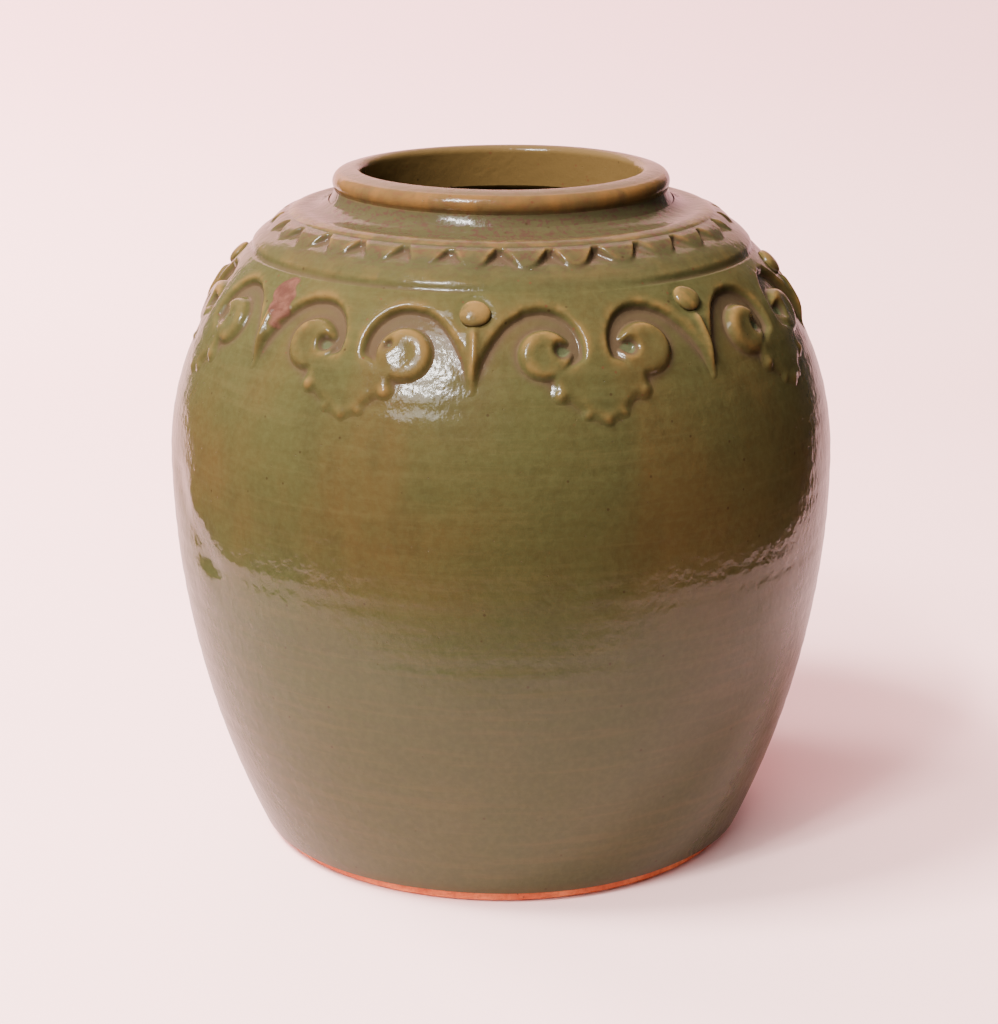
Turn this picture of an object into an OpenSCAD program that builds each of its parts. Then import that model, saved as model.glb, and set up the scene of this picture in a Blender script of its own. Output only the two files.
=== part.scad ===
// Ginger jar: a round-shouldered jar on a low foot, thrown in parts and luted
// together, with an applied collar of toothed band, scroll lappets and beads.
// Millimetres, Z up, origin at the centre of the foot, on the standing plane.

/* [Body] */
// Overall height, standing plane to the crest of the rim
jar_h = 160; // [130:1:195]
// Greatest diameter of the wall
belly_d = 157; // [128:1:190]
// Height of the greatest diameter, as a share of the overall height
belly_at = 0.58; // [0.52:0.01:0.62]
// Thickness of the thrown wall
wall_t = 6; // [4.8:0.2:7.2]
// Height of the lapped joint at the belly
lap_h = 2; // [1.5:0.1:4]

/* [Foot] */
// Outer diameter of the bare foot ring
foot_d = 114; // [95:1:136]
// Width of the foot ring on the standing plane
foot_w = 9; // [7:0.5:12]
// Height of bare ring that shows below the wall
foot_show = 2; // [1.5:0.1:3]
// Height of the hollow under the floor
foot_lift = 6; // [4:0.5:8]
// Width of the step where the ring is let into the wall
foot_rebate = 4; // [3:0.5:5]
// Bevel on the two edges of the standing ring
foot_bevel = 0.8; // [0.4:0.1:1.5]
// Amount the wall stands out past the foot ring
foot_oversail = 0.9; // [0.4:0.1:1.6]
// Thickness of the floor
floor_t = 7; // [5:0.5:9]

/* [Mouth] */
// Diameter of the bore through neck and rim
bore_d = 65; // [54:1:68]
// Outer diameter of the neck at its narrowest
neck_d = 77; // [75:1:92]
// Radius of the hollow moulding round the neck
cove_r = 7; // [5:0.5:9]
// Height of the hollow moulding
cove_h = 6; // [5:0.5:7]
// Height of the rim ring
rim_h = 4; // [3:0.2:5]
// Amount the rim stands out past the neck
rim_over = 0.4; // [0.2:0.1:1]
// Radius of the crest of the rim, across the lip
crest_r = 9.6; // [7:0.2:12]
// Distance from the bore to the highest line of the lip
crest_in = 1.2; // [0.6:0.1:2]
// Rounding of the outer edge of the lip
lip_r = 1.2; // [0.6:0.1:1.8]
// Width of neck piece outside the bore, where it is let into the shoulder
neck_seat = 9.5; // [8:0.5:11]

/* [Collar] */
// Number of scroll lappets, and of pendants between them
petals = 8; // [6:1:10]
// Turn of the first pendant from the front, degrees
pattern_turn = -5.2; // [-22.5:0.1:22.5]
// Thickness of the lappet and pendant sheet
sheet_t = 1.6; // [1.2:0.1:2.4]
// Thickness of the toothed band
band_t = 1.6; // [1.2:0.1:2.4]
// Number of notches round the toothed band
notches = 30; // [20:1:36]
// Depth of a notch
notch_d = 1.3; // [0.8:0.1:1.4]
// Turn of the first notch from the front, degrees
notch_turn = -0.7; // [-6:0.1:6]
// Radius of the roll along the top of the band
roll_r = 1.5; // [1:0.1:2]
// Radius of a bead
bead_r = 3.4; // [2.6:0.1:4]
// Height of a bead above the sheet
bead_up = 1.7; // [1:0.1:2.4]
// Depth a bead is let into the sheet
bead_in = 0.5; // [0.3:0.1:0.9]
// Height of the ridge down the middle of a pendant, above the sheet
ridge_up = 1.1; // [0.6:0.1:1.6]

/* [Hidden] */
$fn = 96;
big = 400;
belly_r = belly_d / 2;
belly_z = belly_at * jar_h;
bore_r = bore_d / 2;
neck_r = neck_d / 2;
foot_r = foot_d / 2;
rim_z = jar_h - rim_h;
cove_z = rim_z - cove_h;
floor_z = foot_lift + floor_t;
spigot_r = foot_r - foot_rebate;
seat_r = bore_r + neck_seat;
// Lower wall: one arc, upright at the belly, down to the foot
low_in = belly_r - foot_r - foot_oversail;
low_r = (low_in * low_in + belly_z * belly_z) / (2 * low_in);
// Shoulder: one arc, upright at the belly, up to the foot of the cove
sh_in = belly_r - neck_r - cove_r;
sh_up = cove_z - belly_z;
sh_r = (sh_in * sh_in + sh_up * sh_up) / (2 * sh_in);
sh_c = belly_r - sh_r;
top_a = asin(sh_up / sh_r);
// Collar unit: about one degree of the shoulder, along it or round it
cu = min(sh_r * top_a / 60, belly_r * 0.87) * PI / 180;
// Heights on the shoulder, degrees up its arc for an arc of sixty degrees
band_lo = lift(46.5);
band_hi = lift(58.8);
roll_at = lift(57.4);
bead_at = lift(42.2);
lap_mid = lift(34);
bead_foot = sqrt(bead_r * bead_r - pow(bead_r - bead_up, 2));
petal_a = 360 / petals;
// Half width of a pendant at its head, and of the lappet beside it
pend_a = petal_a / 9;
lap_a = petal_a / 2 - pend_a;
az = petal_a / 45;
// Centre of the roll, and where the slope above it meets the cove: a share of the
// cove's radius out from the neck, and a height over the cove's foot
roll_x = sh_c + (sh_r + band_t - roll_r / 3) * cos(roll_at);
roll_z = belly_z + (sh_r + band_t - roll_r / 3) * sin(roll_at);
slope_in = 0.56;
slope_up = 1;
// Centres of the volutes, and of the arches over them: [from the lappet's middle, up], and radii
volute = [9.6, 34.1];
volute_cu = 5;
arch = [9.9, 35.1];
arch_cu = 7.3;

function lift(a) = a * top_a / 60;
// A place on the shoulder, seen square on from mid: [round, up] in degrees
function at(p, mid, up = sheet_t) =
  let (r = sh_c + (sh_r + up) * cos(lift(p[1])), z = belly_z + (sh_r + up) * sin(lift(p[1])))
  [r * sin(p[0] * az), -sin(mid) * r * cos(p[0] * az) + cos(mid) * z];
// Points down the right side, mirrored to go down the left side and up the right
function both(pts) = concat([for (p = pts) [-p[0], p[1]]], [for (i = [len(pts) - 1:-1:0]) pts[i]]);

module sh_disc(grow) {
  translate([sh_c, belly_z]) circle(r = sh_r + grow);
}

module low_disc(grow) {
  translate([belly_r - low_r, belly_z]) circle(r = low_r + grow);
}

module zone(r0, r1, z0, z1) {
  translate([r0, z0]) square([r1 - r0, z1 - z0]);
}

// Outline of the whole wall, from the top of the bare foot to the rim joint
module outer2d() {
  intersection() {
    low_disc(0);
    zone(0, big, foot_show, belly_z);
  }
  intersection() {
    sh_disc(0);
    zone(0, big, belly_z, cove_z);
  }
  zone(0, seat_r, belly_z, cove_z);
  difference() {
    zone(0, neck_r + cove_r, cove_z, rim_z);
    translate([neck_r + cove_r, cove_z + cove_r]) circle(r = cove_r);
  }
}

// Outline of the hollow inside the jar
module cavity2d() {
  intersection() {
    low_disc(-wall_t);
    zone(0, big, floor_z, belly_z);
  }
  intersection() {
    sh_disc(-wall_t);
    zone(0, big, belly_z, jar_h);
  }
  zone(0, bore_r, floor_z, big);
}

module foot2d() {
  polygon([[foot_r - foot_w + foot_bevel, 0], [foot_r - foot_bevel, 0], [foot_r, foot_bevel],
    [foot_r, foot_show], [spigot_r, foot_show], [spigot_r, foot_lift],
    [foot_r - foot_w, foot_lift], [foot_r - foot_w, foot_bevel]]);
}

module base2d() {
  zone(0, spigot_r, foot_lift, floor_z);
}

// The inner half of the wall that stands up past the belly joint
module lap2d() {
  intersection() {
    sh_disc(-wall_t / 2);
    zone(0, big, belly_z, belly_z + lap_h);
  }
}

module lower2d() {
  difference() {
    union() {
      intersection() {
        outer2d();
        zone(0, big, foot_show, belly_z);
      }
      lap2d();
    }
    cavity2d();
    zone(0, spigot_r, 0, floor_z);
  }
}

module upper2d() {
  difference() {
    intersection() {
      outer2d();
      zone(seat_r, big, belly_z, rim_z);
    }
    cavity2d();
    lap2d();
  }
}

module neck2d() {
  difference() {
    intersection() {
      outer2d();
      zone(bore_r, seat_r, belly_z, rim_z);
    }
    cavity2d();
  }
}

module rim2d() {
  out_r = neck_r + rim_over;
  intersection() {
    translate([bore_r + crest_in, jar_h - crest_r]) circle(r = crest_r);
    union() {
      zone(bore_r, out_r - lip_r, rim_z, jar_h);
      zone(bore_r, out_r, rim_z, jar_h - lip_r * 2);
      translate([out_r - lip_r, jar_h - lip_r * 2]) circle(r = lip_r);
    }
  }
}

// A wedge of section between two heights on the shoulder
module slice2d(a0, a1) {
  translate([sh_c, belly_z])
    polygon([[0, 0], big * [cos(a0), sin(a0)], big * [cos(a1), sin(a1)]]);
}

module band2d() {
  difference() {
    union() {
      intersection() {
        sh_disc(band_t);
        slice2d(band_lo, band_hi);
      }
      translate([roll_x, roll_z]) circle(r = roll_r);
      // Slope from the roll in to the cove
      polygon([[roll_x, cove_z - roll_r], [roll_x, roll_z + roll_r],
        [neck_r + cove_r * slope_in, cove_z + slope_up],
        [neck_r + cove_r * slope_in, cove_z - roll_r]]);
    }
    sh_disc(0);
    outer2d();
  }
}

// Skin of the shoulder between two growths, up to the underside of the band
module skin(g0, g1) {
  rotate_extrude()
    difference() {
      intersection() {
        sh_disc(g1);
        slice2d(lift(12), band_lo);
      }
      sh_disc(g0);
    }
}

// Lay a flat outline square on to the shoulder at a height and raise it outward
module raise_at(mid, from = 0) {
  rotate([0, -mid, 0]) rotate([90, 0, 90])
    translate([0, 0, from]) linear_extrude(height = big) children();
}

// A wedge of the whole jar, so many degrees each side of the X axis
module wedge(half) {
  linear_extrude(height = big)
    polygon([[0, 0], big * [cos(half), -sin(half)], big * [cos(half), sin(half)]]);
}

module around(turn) {
  rotate([0, 0, turn - 90]) children();
}

module scroll2d(s) {
  difference() {
    translate(at([s * volute[0], volute[1]], lap_mid)) circle(r = volute_cu * cu);
    translate(at([s * 6.2, 34.4], lap_mid)) circle(r = 1.3 * cu);
  }
  translate(at([s * 7.1, 26.6], lap_mid)) circle(r = 1.8 * cu);
  translate(at([s * 2.8, 22.8], lap_mid)) circle(r = 1.2 * cu);
}

// One lappet: collar above, a stem, two scrolls, side lobes and a pointed tip
module lappet2d() {
  head = both([[18, 52], [18, 38.8], [17.1, 39.8], [15.4, 41.3], [13.6, 42.1], [arch[0], 40.6],
    [arch[0], 30], [4.5, 30]]);
  body = both([[3.6, 32], [8.6, 30.4], [8, 27.4], [5, 24.8], [2.6, 22.2], [0, 20.3]]);
  difference() {
    polygon([for (p = head) at(p, lap_mid)]);
    for (s = [-1, 1]) translate(at([s * arch[0], arch[1]], lap_mid)) circle(r = arch_cu * cu);
  }
  polygon([for (p = body) at(p, lap_mid)]);
  for (s = [-1, 1]) scroll2d(s);
}

module lappet(n) {
  around(pattern_turn + (n - 0.5) * petal_a)
    intersection() {
      skin(0, sheet_t);
      raise_at(lap_mid) lappet2d();
      wedge(lap_a);
    }
}

module pendant(n) {
  tongue = both([[5.8, 52], [5.8, 40.2], [5.4, 39.8], [3.7, 37.6], [2.4, 35.3], [1.4, 33], [0.5, 28.8]]);
  ridge = both([[0.55, 38.8], [0.45, 28.6]]);
  around(pattern_turn + (n - 1) * petal_a) {
    difference() {
      intersection() {
        skin(0, sheet_t);
        raise_at(lap_mid) polygon([for (p = tongue) at(p, lap_mid)]);
        wedge(pend_a);
      }
      on_bead_seat() zone_rod(bead_foot, bead_in);
    }
    intersection() {
      skin(sheet_t / 2, sheet_t + ridge_up);
      raise_at(lap_mid) polygon([for (p = ridge) at(p, lap_mid)]);
    }
  }
}

// Stand on the face of the sheet where a bead sits, Z outward
module on_bead_seat() {
  c = sh_r + sheet_t;
  translate([sh_c + c * cos(bead_at), 0, belly_z + c * sin(bead_at)])
    rotate([0, 90 - bead_at, 0]) children();
}

module zone_rod(r, depth) {
  translate([0, 0, -depth]) cylinder(r = r, h = depth * 3);
}

module bead(n) {
  around(pattern_turn + (n - 1) * petal_a) on_bead_seat()
    rotate_extrude() intersection() {
      translate([0, bead_up - bead_r]) circle(r = bead_r);
      zone(0, bead_foot, -bead_in, bead_up);
    }
}

module notch() {
  mid = lift(54);
  cut = [[-3.2, 52], [3.2, 52], [0, 56]];
  raise_at(mid, sh_c * cos(mid) + belly_z * sin(mid) + sh_r + band_t - notch_d)
    polygon([for (p = cut) at([p[0] / az, p[1]], mid, band_t)]);
}

module foot_ring() {
  color([0.72, 0.36, 0.2]) rotate_extrude() foot2d();
}

module base_disc() {
  color([0.55, 0.47, 0.28]) rotate_extrude() base2d();
}

module lower_wall() {
  color([0.5, 0.45, 0.26]) rotate_extrude() lower2d();
}

module upper_wall() {
  color([0.52, 0.47, 0.28]) rotate_extrude() upper2d();
}

module neck_ring() {
  color([0.5, 0.4, 0.28]) rotate_extrude() neck2d();
}

module rim_ring() {
  color([0.6, 0.45, 0.28]) rotate_extrude() rim2d();
}

module tooth_band() {
  color([0.56, 0.5, 0.3])
    difference() {
      rotate_extrude() band2d();
      for (i = [0:notches - 1]) around(notch_turn + i * 360 / notches) notch();
    }
}

module lappet_any(n) {
  color([0.54, 0.48, 0.28]) lappet(n);
}

module pendant_any(n) {
  color([0.58, 0.46, 0.26]) pendant(n);
}

module bead_any(n) {
  color([0.64, 0.48, 0.3]) bead(n);
}

foot_ring();
base_disc();
lower_wall();
upper_wall();
neck_ring();
rim_ring();
tooth_band();
lappet_any(1);  // lappet_1
lappet_any(2);  // lappet_2
lappet_any(3);  // lappet_3
lappet_any(4);  // lappet_4
lappet_any(5);  // lappet_5
lappet_any(6);  // lappet_6
lappet_any(7);  // lappet_7
lappet_any(8);  // lappet_8
pendant_any(1);  // pendant_1
pendant_any(2);  // pendant_2
pendant_any(3);  // pendant_3
pendant_any(4);  // pendant_4
pendant_any(5);  // pendant_5
pendant_any(6);  // pendant_6
pendant_any(7);  // pendant_7
pendant_any(8);  // pendant_8
bead_any(1);  // bead_1
bead_any(2);  // bead_2
bead_any(3);  // bead_3
bead_any(4);  // bead_4
bead_any(5);  // bead_5
bead_any(6);  // bead_6
bead_any(7);  // bead_7
bead_any(8);  // bead_8
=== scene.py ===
"""Looks of the ginger jar: glazed body, applied collar and bare foot, on a pale table."""

import math

import bpy
import numpy as np
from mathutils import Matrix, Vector


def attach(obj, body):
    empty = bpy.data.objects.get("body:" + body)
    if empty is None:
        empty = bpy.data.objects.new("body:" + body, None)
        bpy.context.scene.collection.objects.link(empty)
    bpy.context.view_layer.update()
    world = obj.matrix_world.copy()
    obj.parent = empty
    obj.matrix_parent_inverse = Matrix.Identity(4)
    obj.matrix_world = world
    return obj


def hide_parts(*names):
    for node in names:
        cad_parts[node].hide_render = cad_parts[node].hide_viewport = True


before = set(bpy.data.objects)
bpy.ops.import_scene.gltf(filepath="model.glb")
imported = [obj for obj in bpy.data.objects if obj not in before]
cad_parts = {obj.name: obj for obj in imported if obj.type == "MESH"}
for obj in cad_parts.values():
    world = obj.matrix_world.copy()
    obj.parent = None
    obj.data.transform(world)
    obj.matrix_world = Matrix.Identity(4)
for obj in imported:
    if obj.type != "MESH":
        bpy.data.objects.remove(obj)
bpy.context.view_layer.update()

MM = 0.001

# ---------------------------------------------------------------- sizes, mm, as in the CAD
JAR_H = 160.0
BELLY_R = 78.5
BELLY_Z = 92.8
LOW_FLARE = 0.9  # how far the lower wall's curve stands outside the foot at z = 0
WALL_T = 6.0
FOOT_R = 57.0
FOOT_IN = FOOT_R - 9.0
FOOT_SHOW = 2.0
FOOT_LIFT = 6.0
FLOOR_T = 7.0
BORE_R = 32.5
NECK_R = 38.5
COVE_R = 7.0
COVE_Z = 150.0
RIM_Z = JAR_H - 4.0
SEAT_R = 42.0
LAP_H = 2.0
PETALS = 8
NOTCHES = 30
PATTERN = -5.2  # azimuth of the first pendant, degrees
STEP_A = 360.0 / PETALS
BAND_LO = 46.5  # the collar's angles up the shoulder, degrees
BAND_TOP = 57.0
LOST_BEAD = PETALS - 1  # the pendant left of the front, which has a bare scar instead

LOW_IN = BELLY_R - FOOT_R - LOW_FLARE
LOW_R = (LOW_IN ** 2 + BELLY_Z ** 2) / (2 * LOW_IN)
SH_IN = BELLY_R - NECK_R - COVE_R
SH_UP = COVE_Z - BELLY_Z
SH_R = (SH_IN ** 2 + SH_UP ** 2) / (2 * SH_IN)
SH_C = BELLY_R - SH_R
TOP_A = math.degrees(math.asin(SH_UP / SH_R))


# ---------------------------------------------------------------- small maths
def smooth(a, b, x):
    t = np.clip((x - a) / (b - a), 0, 1)
    return t * t * (3 - 2 * t)


def smin(a, b, k):
    h = np.clip(0.5 + 0.5 * (b - a) / k, 0, 1)
    return b + (a - b) * h - k * h * (1 - h)


def smax(a, b, k):
    return -smin(-a, -b, k)


def circ(x, y, cx, cy, r):
    return np.hypot(x - cx, y - cy) - r


def sd_poly(x, y, pts):
    """Signed distance to a closed outline, negative inside."""
    d = np.full(x.shape, 1e9)
    s = np.ones(x.shape)
    n = len(pts)
    for i in range(n):
        ax, ay = pts[i]
        bx, by = pts[i - 1]
        ex, ey = bx - ax, by - ay
        wx, wy = x - ax, y - ay
        t = np.clip((wx * ex + wy * ey) / (ex * ex + ey * ey), 0, 1)
        d = np.minimum(d, (wx - ex * t) ** 2 + (wy - ey * t) ** 2)
        c = np.stack([y >= ay, y < by, ex * wy > ey * wx])
        s = np.where(c.all(0) | (~c).all(0), -s, s)
    return s * np.sqrt(d)


def wrap(a):
    return (a + 180.0) % 360.0 - 180.0


def ripple(az, seed, n, amp):
    """A smooth closed wave round the jar from a few harmonics."""
    g = np.random.default_rng(seed)
    out = np.zeros(np.shape(az))
    for k in range(1, n + 1):
        size = g.normal() / math.sqrt(k)
        out = out + size * np.sin(np.radians(k * az) + g.uniform(0, 2 * math.pi))
    return amp * out / math.sqrt(n)


# ---------------------------------------------------------------- hand-made unevenness
# azimuth and height of each dent or swelling, its half widths (degrees, mm) and its depth in mm
FOLDS = [(-62, 95, 14, 10, -0.45), (-72, 92, 4, 4, -0.6), (-67, 87, 4, 4, -0.5), (-62, 82, 4, 4, -0.4),
         (-64, 90, 3, 4, 0.4), (-57, 77, 4, 3, -0.5), (-60, 72, 4, 4, 0.4),
         (-63, 86, 6, 4, 0.35), (-52, 80, 7, 4, 0.3), (-70, 70, 8, 4, 0.3)]
DENTS = FOLDS + [(-40, 70, 12, 9, 0.3), (-33, 60, 10, 6, -0.25), (62, 78, 8, 6, -0.3), (52, 66, 9, 6, 0.25),
                 (-18, 98, 20, 14, -0.22), (35, 80, 24, 12, 0.3), (70, 100, 18, 15, -0.35),
                 (10, 52, 24, 14, -0.2), (110, 85, 20, 18, 0.35), (160, 70, 24, 16, -0.3),
                 (-110, 95, 22, 14, 0.3), (-150, 60, 20, 16, -0.25)]


def warp(p):
    """Moves ideal points (mm) to where the hand-made jar has them."""
    x, y, z = p[:, 0], p[:, 1], p[:, 2]
    r = np.hypot(x, y)
    az = np.degrees(np.arctan2(x, -y))
    body = smooth(6, 30, z) * (1 - smooth(135, 150, z)) * smooth(25, 45, r)
    d = np.zeros_like(r)
    for a, zc, wa, wz, amp in DENTS:
        d += amp * np.exp(-(wrap(az - a) / wa) ** 2 - ((z - zc) / wz) ** 2)
    rings = np.sin(z * 1.25 + ripple(az, 5, 2, 0.8)) * np.sin(z * 0.21 + 1.0)
    d += ripple(az, 3, 3, 0.12) + 0.05 * rings
    d *= body
    d += smooth(150, 156, z) * smooth(34, 37, r) * ripple(az, 23, 9, 0.2)
    k = np.where(r > 1e-6, (r + d) / np.maximum(r, 1e-6), 1.0)
    foot = smooth(0.3, 1.8, z) * (1 - smooth(3.0, 9.0, z))
    dz = foot * (ripple(az, 11, 7, 0.32) + 0.1)
    dz += smooth(138, 156, z) * (0.002 * x + ripple(az, 21, 5, 0.16))
    return np.stack([x * k, y * k, z + dz], 1)


# ---------------------------------------------------------------- relief of the collar
CELL = 0.25
AZ = np.arange(-180.2, 179.8 - 1e-9, CELL)
TH = np.arange(15.0, 62.0 + 1e-9, CELL)
AZG, THG = np.meshgrid(AZ, TH)
DEG = 1.15  # mm in a degree, along the shoulder and about round it
SHEET = 1.6
BEAD_TH = 42.2


def blur(a, sig):
    """Gaussian blur, closed round the jar."""
    n = int(4 * sig)
    w = np.exp(-0.5 * (np.arange(-n, n + 1) / sig) ** 2)
    w /= w.sum()
    out = sum(wi * np.roll(a, i - n, axis=1) for i, wi in enumerate(w))
    pad = np.pad(out, ((n, n), (0, 0)), mode="edge")
    return sum(wi * pad[i:i + a.shape[0]] for i, wi in enumerate(w))


def hand(k):
    """Twelve amounts from -1 to 1 that make one applied piece differ from the next."""
    return (np.random.default_rng(100 + k).random(12) - 0.5) * 2


def recess():
    """Hollow beside the stem: round over the volute, then down the pendant's side to its tip."""
    a = np.radians(np.linspace(222, 78, 22))
    inner = [(9.9 + 7.3 * math.cos(t), 35.3 + 7.5 * math.sin(t)) for t in a]
    outer = [(13.6, 42.3), (15.4, 41.3), (17.2, 39.8), (18.9, 37.6), (20.2, 35.3), (21.2, 33.0), (22.0, 30.4)]
    return inner + outer + [(22.5, 28.6), (22.5, 10.0), (4.4, 10.0)]


RECESS = recess()
# places on a lappet: degrees across from its middle and up the shoulder, and radii in the same degrees
VOLUTE, VOLUTE_R = (9.6, 34.1), 5.05
LOBE, LOBE_R = (7.3, 26.6), 1.7
CUSP, CUSP_R = (3.1, 22.8), 1.1
TIP_Y = 20.3
REACH = 26  # half the width looked at round one lappet
HEAD_X = 22.6


def lappet_field(k):
    """Signed distance (mm) of one lappet's sheet, its swell above it, and the glaze pooled in its eyes."""
    j = hand(k)
    x = wrap(AZG - (PATTERN + (k + 0.5) * STEP_A + 0.25 * j[0]))
    m = np.abs(x) <= REACH
    x, y = x[m], THG[m]
    head = np.full(x.shape, -9.0)
    side = [(3.4, 33), (8.4, 30.6), (8.6, 27.6), (5.8, 25.0), (3.2, 22.6)]
    body = sd_poly(x, y, side[:3] + [(5.6, 25.0), (3.4, 22.6), (0.2 + 0.5 * j[1], TIP_Y)]
                   + [(-px, py) for px, py in side[::-1]])
    swell = np.zeros(x.shape)
    pool = np.zeros(x.shape)
    scrolls = np.full(x.shape, 9.0)
    for i, s in enumerate((-1, 1)):
        jj = j[3 + 4 * i:7 + 4 * i]
        shut = k == LOST_BEAD and s > 0
        head = smax(head, -sd_poly(s * x + 0.25 * jj[0], y - 0.25 * jj[1], RECESS), 0.6)
        # the volute's disc, with its eye and the slot that opens it inwards
        dx, dy = s * (VOLUTE[0] + 0.3 * jj[2]), VOLUTE[1] + 0.4 * jj[3]
        disc = circ(x, y, dx, dy, VOLUTE_R + 0.2 * jj[0])
        ex, ey = dx - s * 3.1, dy + (1.6 if shut else 0.25 + 0.4 * jj[1])
        disc = smax(disc, -circ(x, y, ex, ey, 0.45 if shut else 1.15), 0.9)
        if not shut:
            half = 0.55 + 0.25 * jj[3]
            along = np.maximum(s * (x - ex), -s * (x - ex) - 4.0)
            disc = smax(disc, -np.maximum(np.abs(y - ey - 0.35 * s * (ex - x)) - half, along), 0.9)
        lobe = circ(x, y, s * LOBE[0], LOBE[1] + 0.2 * jj[2], LOBE_R)
        cusp = circ(x, y, s * CUSP[0], CUSP[1], CUSP_R)
        scrolls = np.minimum(scrolls, smin(disc, np.minimum(lobe, cusp), 0.4))
        rr = np.hypot(x - dx, y - dy)
        ang = np.arctan2(y - dy, s * (x - dx))
        roll = np.exp(-((rr - 3.0) / 1.5) ** 2) * (0.7 + 0.3 * np.sin(ang + 0.4))
        swell += 0.42 * roll * smooth(0.2, -1.6, disc)
        swell += 0.4 * np.exp(-((x - s * LOBE[0]) ** 2 + (y - LOBE[1]) ** 2) / 1.4)
        swell += 0.25 * np.exp(-((x - s * CUSP[0]) ** 2 + (y - CUSP[1]) ** 2) / 0.9)
        drop = np.exp(-((x - ex + s * 0.5) / 1.7) ** 2 - ((y - ey + 0.4) / 1.5) ** 2)
        pool = np.maximum(pool, (0.75 + 0.5 * jj[3]) * drop)
    floor = np.where(np.abs(x) < 6, 30.0 - y, 27.0 - y)
    head = np.maximum(head, np.maximum(np.abs(x) - HEAD_X, floor))
    swell += 0.2 * np.exp(-(x / 5.0) ** 2 - ((y - 28.0) / 4.0) ** 2)
    swell += 0.35 * np.exp(-(x ** 2 + (y - 21.4) ** 2) / 1.1)
    sd = np.full(AZG.shape, 9.0)
    up, eyes = np.zeros(AZG.shape), np.zeros(AZG.shape)
    sd[m] = smin(head, smin(body, scrolls, 0.6), 0.8) * DEG
    up[m] = swell
    eyes[m] = pool
    return sd, up, eyes


def tongue_field(k):
    """The same fields for one pendant: a tapering tongue with a pinched ridge and a moat round its bead."""
    j = hand(40 + k)
    lean = np.clip(0.04 * (40 - THG) * (0.5 + j[1]), -0.5, 0.7)
    x = wrap(AZG - (PATTERN + k * STEP_A + 0.15 * j[0])) - lean
    up_at = [28.0, 30.4, 33.0, 35.3, 37.6, 39.8, 41.3, 42.3]
    half = np.interp(THG, up_at, [0.25, 0.5, 1.3, 2.3, 3.6, 5.3, 7.1, 9.0])
    sd = np.maximum(np.abs(x) - half, (27.9 - THG)) * DEG
    keel = np.clip(1 - np.abs(x) / (half + 0.3), 0, 1) ** 1.4
    pinch = np.exp(-(x / 0.6) ** 2)
    along = smooth(28.0, 30.5, THG) * (1 - smooth(38.4, 40.0, THG))
    up = along * (0.3 * keel + 0.8 * pinch)
    moat = np.exp(-((np.hypot(x, THG - BEAD_TH) - 3.0) / 0.8) ** 2)
    return sd, up - (0.0 if k == LOST_BEAD else 0.22) * moat, np.zeros(sd.shape)


def teeth():
    """Zigzag lower edge of the upper band: signed distance, negative on the teeth."""
    out = 51.7 + 0.2 * ripple(AZG, 35, 9, 1.0) - THG
    step = 360.0 / NOTCHES
    for i in range(NOTCHES):
        j = hand(70 + i)
        centre = -0.7 + step * i + 0.9 * math.sin(math.radians(step * i + 20)) + 0.5 * j[0]
        x = wrap(AZG - centre)
        near = np.abs(x) < 7
        top, lean = 55.9 + 0.4 * j[3], 0.7 * j[4]
        notch = [(-5.0 - 0.5 * j[1], 50.6), (5.0 + 0.5 * j[2], 50.6), (lean + 0.7, top), (lean - 0.7, top)]
        pit = sd_poly(x[near] * 1.02, THG[near], notch)
        out[near] = smax(out[near], -pit, 1.6)
    return out


def relief():
    """Height of the collar over the wall (mm) on the grid; below zero it is under the wall's skin."""
    sd = np.full(AZG.shape, 9.0)
    up = np.zeros(AZG.shape)
    eyes = np.zeros(AZG.shape)
    for k in range(PETALS):
        for f in (lappet_field, tongue_field):
            s, u, e = f(k)
            sd = smin(sd, s, 1.3)
            up += u
            eyes = np.maximum(eyes, e)
    soft = 1.5 + 0.9 * smooth(31, 25, THG)
    t = np.clip((0.5 - sd) / soft, 0, 1)
    tall = 0.6 + 1.0 * smooth(24, 37, THG)
    sheet = tall * t * t * (3 - 2 * t)
    inside = smooth(0.1, 1.2, -sd)
    h = blur(sheet + up * inside - 0.14 * (1 - smooth(0.0, 0.12, t)), 1.3)
    # toothed band: a smooth roll below, and over it a sheet with a zigzag edge that runs in to the cove
    step = THG - 47.35 - ripple(AZG, 31, 5, 0.22)
    strong = 0.12 + 0.88 * smooth(10, 26, np.abs(wrap(AZG - 13)))
    low = 1.55 + 0.6 * strong * smooth(-0.6, 1.1, step) - 0.12 * strong * np.exp(-((step + 0.5) / 0.6) ** 2)
    low += 0.25 * np.exp(-((THG - 50.0) / 1.8) ** 2) - 0.9 * smooth(51.5, 55.8, THG)
    over = 2.25 + 0.4 * smooth(51.8, 54.8, THG) - 0.5 * smooth(55.2, 57.3, THG)
    band = low + (over - low) * smooth(0.55, -0.75, teeth())
    wavy = 0.03 * ripple(AZG, 33, 24, 1.0) * smooth(20, 24, THG)
    return np.where(THG < BAND_LO, h, band) + wavy, eyes


RELIEF, EYES = relief()
SHOWN = np.maximum(RELIEF, 0.0)
CURVE = SHOWN - blur(SHOWN, 4.0)
BROAD = SHOWN - blur(SHOWN, 9.0)
THIN = np.clip(CURVE / 0.5, 0, 1)
LOW_LYING = np.clip(-CURVE / 0.55, 0, 1) * 0.35 + np.clip(-BROAD / 0.8, 0, 1) * 0.3
POOL = np.clip(LOW_LYING, 0, 0.6) + EYES * 0.6


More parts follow.
